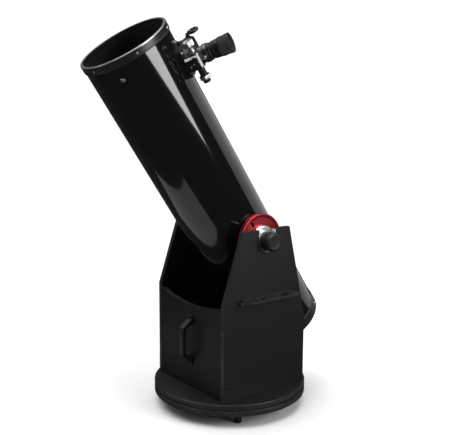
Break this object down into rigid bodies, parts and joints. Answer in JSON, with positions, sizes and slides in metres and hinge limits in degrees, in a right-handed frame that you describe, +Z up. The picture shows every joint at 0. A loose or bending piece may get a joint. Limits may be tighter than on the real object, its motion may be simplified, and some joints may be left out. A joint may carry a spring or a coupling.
{
  "type": "dobsonian telescope",
  "caption": "Reflector telescope with a gloss black tube on a rocker box: it turns on a round ground board, tilts on red side bearings and has a focuser, eyepiece, finder and carry handle.",
  "frame": {"origin": "on the floor, under the azimuth bolt", "axes": "+Z up, +X along the altitude axis towards the eyepiece rack, -Y the way the tube leans"},
  "size_m": [0.5699, 0.955, 1.3967],
  "materials": {
    "board_black": "satin black laminate",
    "tube_gloss": "gloss black paint",
    "ring_satin": "satin dark casting with a bright lip",
    "screw_steel": "bright steel",
    "bolt_black": "black oxide",
    "silver_alloy": "turned alloy",
    "red_anodised": "red anodised",
    "black_anodised": "black anodised",
    "black_plastic": "moulded plastic",
    "soft_rubber": "rubber",
    "pad_plastic": "slippery white plastic",
    "mirror_glass": "aluminised glass",
    "clear_glass": "coated glass",
    "cast_alloy": "black painted casting",
    "fan_plastic": "black plastic"
  },
  "bodies": {
    "ground": {"ground_board": "board_black", "feet": "soft_rubber", "azimuth_bolt": "screw_steel", "azimuth_pads": "pad_plastic"},
    "rocker": {"rocker_board": "board_black", "azimuth_track": "screw_steel", "side_panel_right": "board_black", "side_panel_left": "board_black", "front_panel": "board_black", "panel_screws": "screw_steel", "cradle_liners": "pad_plastic", "carry_handle": "black_plastic", "eyepiece_shelf": "bolt_black", "fitting_screws": "screw_steel"},
    "tube": {"optical_tube": "tube_gloss", "front_ring": "ring_satin", "rear_ring": "ring_satin", "tube_screws": "screw_steel", "spider": "cast_alloy", "vane_bolts": "screw_steel", "secondary_holder": "cast_alloy", "secondary_mirror": "mirror_glass", "secondary_screws": "screw_steel", "primary_mirror": "mirror_glass", "mirror_carrier": "cast_alloy", "mirror_clips": "black_plastic", "cell_frame": "cast_alloy", "cell_springs": "screw_steel", "fan_frame": "fan_plastic", "altitude_saddles": "black_anodised", "altitude_discs": "red_anodised", "altitude_hubs": "silver_alloy", "bearing_bolts": "screw_steel", "altitude_washers": "silver_alloy", "focuser_saddle": "black_anodised", "focuser_body": "black_anodised", "shaft_block": "black_anodised", "reducer_housing": "black_anodised", "finder_shoe": "black_anodised", "finder_body": "black_plastic", "finder_ring": "black_plastic", "finder_glass": "clear_glass"},
    "tension_right": {"altitude_knob_right": "black_plastic"},
    "tension_left": {"altitude_knob_left": "black_plastic"},
    "drawtube": {"drawtube": "black_anodised"},
    "coarse_focus": {"focus_shaft": "silver_alloy", "coarse_knobs": "silver_alloy"},
    "micro_focus": {"micro_knob": "black_anodised"},
    "eyepiece": {"eyepiece_body": "black_anodised", "eye_lenses": "clear_glass", "eyecup": "soft_rubber"},
    "collar_screw": {"collar_screw": "silver_alloy"},
    "focus_lock": {"focus_lock_screw": "black_anodised"},
    "finder_dial": {"finder_dial": "black_plastic"},
    "finder_clamp": {"finder_clamp_screw": "silver_alloy"},
    "fan": {"fan_rotor": "fan_plastic"},
    "collimation_1": {"collimation_knob_1": "black_plastic"},
    "collimation_2": {"collimation_knob_2": "black_plastic"},
    "collimation_3": {"collimation_knob_3": "black_plastic"}
  },
  "joints": [
    {"name": "azimuth_turn", "type": "hinge", "parent": "ground", "child": "rocker", "pos_m": [0, 0, 0.0665], "axis": [0, 0, 1], "continuous": true},
    {"name": "altitude_tilt", "type": "hinge", "parent": "rocker", "child": "tube", "pos_m": [0, 0.0038, 0.6443], "axis": [-1, 0, 0], "range_deg": [-56, 33.8]},
    {"name": "tension_knob_right_turn", "type": "hinge", "parent": "tube", "child": "tension_right", "pos_m": [0.225, 0.0038, 0.6443], "axis": [1, 0, 0], "range_deg": [0, 360]},
    {"name": "tension_knob_left_turn", "type": "hinge", "parent": "tube", "child": "tension_left", "pos_m": [-0.225, 0.0038, 0.6443], "axis": [-1, 0, 0], "range_deg": [0, 360]},
    {"name": "drawtube_travel", "type": "slide", "parent": "tube", "child": "drawtube", "axis": [0.7604, 0.5391, 0.3622], "range_m": [-0.012, 0.022]},
    {"name": "coarse_focus_turn", "type": "hinge", "parent": "tube", "child": "coarse_focus", "pos_m": [0.1798, -0.28, 1.25238], "axis": [0, -0.5577, 0.83], "range_deg": [-130, 72]},
    {"name": "micro_focus_turn", "type": "hinge", "parent": "tube", "child": "micro_focus", "pos_m": [0.1798, -0.24096, 1.19427], "axis": [0, -0.5577, 0.83], "range_deg": [-1300, 720]},
    {"name": "eyepiece_pull", "type": "slide", "parent": "drawtube", "child": "eyepiece", "axis": [0.7604, 0.5391, 0.3622], "range_m": [0, 0.03]},
    {"name": "collar_screw_turn", "type": "hinge", "parent": "drawtube", "child": "collar_screw", "pos_m": [0.20208, -0.26203, 1.26445], "axis": [0.6494, -0.6311, -0.4241], "range_deg": [0, 360]},
    {"name": "focus_lock_turn", "type": "hinge", "parent": "tube", "child": "focus_lock", "pos_m": [0.19008, -0.29796, 1.25476], "axis": [0.6494, -0.6311, -0.4241], "range_deg": [0, 360]},
    {"name": "finder_dial_turn", "type": "hinge", "parent": "tube", "child": "finder_dial", "pos_m": [0.08576, -0.22308, 1.3087], "axis": [0.9304, -0.3042, -0.2044], "range_deg": [0, 270]},
    {"name": "finder_clamp_turn", "type": "hinge", "parent": "tube", "child": "finder_clamp", "pos_m": [0.07578, -0.26666, 1.29387], "axis": [0.9304, -0.3042, -0.2044], "range_deg": [0, 360]},
    {"name": "fan_spin", "type": "hinge", "parent": "tube", "child": "fan", "pos_m": [0, 0.24252, 0.28906], "axis": [0, -0.5577, 0.83], "continuous": true},
    {"name": "collimation_1_turn", "type": "hinge", "parent": "tube", "child": "collimation_1", "pos_m": [0, 0.35053, 0.32911], "axis": [0, -0.5577, 0.83], "range_deg": [-180, 180]},
    {"name": "collimation_2_turn", "type": "hinge", "parent": "tube", "child": "collimation_2", "pos_m": [-0.09699, 0.21109, 0.23541], "axis": [0, -0.5577, 0.83], "range_deg": [-180, 180]},
    {"name": "collimation_3_turn", "type": "hinge", "parent": "tube", "child": "collimation_3", "pos_m": [0.09699, 0.21109, 0.23541], "axis": [0, -0.5577, 0.83], "range_deg": [-180, 180]}
  ],
  "couplings": [
    {"joint": "coarse_focus_turn", "follows": "drawtube_travel", "rad_per_m": -101.01},
    {"joint": "micro_focus_turn", "follows": "drawtube_travel", "rad_per_m": -1010.1}
  ]
}
